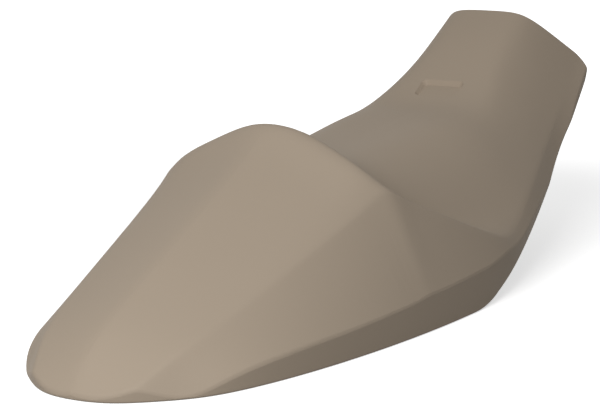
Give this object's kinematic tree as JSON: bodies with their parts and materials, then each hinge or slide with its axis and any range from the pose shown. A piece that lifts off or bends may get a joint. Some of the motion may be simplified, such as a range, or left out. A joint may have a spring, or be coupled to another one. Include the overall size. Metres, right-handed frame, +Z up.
{
  "type": "motorcycle tail fairing",
  "caption": "One-piece moulded motorcycle tail fairing: faceted tapering tail hump, scooped saddle with thigh hollows and a shallow bare recess, hollow underneath with a turned-in rim.",
  "frame": {"origin": "middle of the footprint box, at the level of the flat rim the shell stands on", "axes": "+Z up, +Y towards the front of the motorcycle, +X to the right of a rider facing the front"},
  "size_m": [0.317, 0.7338, 0.2278],
  "materials": {
    "moulding": "satin taupe gel coat"
  },
  "bodies": {
    "root": {"tail_fairing": "moulding"}
  },
  "joints": []
}
